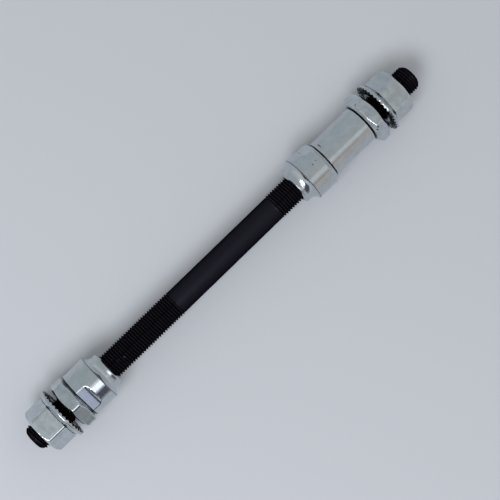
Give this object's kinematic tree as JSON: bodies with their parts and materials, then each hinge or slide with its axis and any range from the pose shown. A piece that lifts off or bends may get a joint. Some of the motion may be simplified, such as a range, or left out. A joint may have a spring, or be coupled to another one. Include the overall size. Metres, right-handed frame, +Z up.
{
  "type": "rear hub axle",
  "caption": "Solid threaded bicycle rear hub axle with bearing cones, a drive side spacer, locknuts and axle nuts with captive serrated washers.",
  "frame": {"origin": "on the axle's axis, half way between its two tips", "axes": "+X along the axle towards the drive side, +Z up as the set lies"},
  "size_m": [0.175, 0.0194, 0.0192],
  "materials": {
    "black_steel": "black oxide, rolled thread",
    "plated_cone": "turned and zinc plated",
    "plated_nut": "bright zinc plated",
    "plated_washer": "zinc plated, pressed teeth",
    "plated_spacer": "zinc plated tube"
  },
  "bodies": {
    "axle_set": {"axle": "black_steel", "left_cone": "plated_cone", "left_locknut": "plated_nut", "right_cone": "plated_cone", "right_spacer": "plated_spacer", "right_locknut": "plated_nut"},
    "left_washer_body": {"left_washer": "plated_washer"},
    "left_nut_body": {"left_axle_nut": "plated_nut"},
    "right_washer_body": {"right_washer": "plated_washer"},
    "right_nut_body": {"right_axle_nut": "plated_nut"}
  },
  "joints": [
    {"name": "left_washer_travel", "type": "slide", "parent": "axle_set", "child": "left_washer_body", "axis": [1, 0, 0], "range_m": [-0.00685, 0.002]},
    {"name": "left_nut_turn", "type": "hinge", "parent": "left_washer_body", "child": "left_nut_body", "pos_m": [-0.0803, 0, 0], "axis": [1, 0, 0], "range_deg": [-2520, 730]},
    {"name": "right_washer_travel", "type": "slide", "parent": "axle_set", "child": "right_washer_body", "axis": [1, 0, 0], "range_m": [-0.002, 0.00881]},
    {"name": "right_nut_turn", "type": "hinge", "parent": "right_washer_body", "child": "right_nut_body", "pos_m": [0.0773, 0, 0], "axis": [1, 0, 0], "range_deg": [-730, 3240]}
  ],
  "couplings": [
    {"joint": "left_washer_travel", "follows": "left_nut_turn", "m_per_rad": 0.00015548},
    {"joint": "right_washer_travel", "follows": "right_nut_turn", "m_per_rad": 0.00015548}
  ]
}
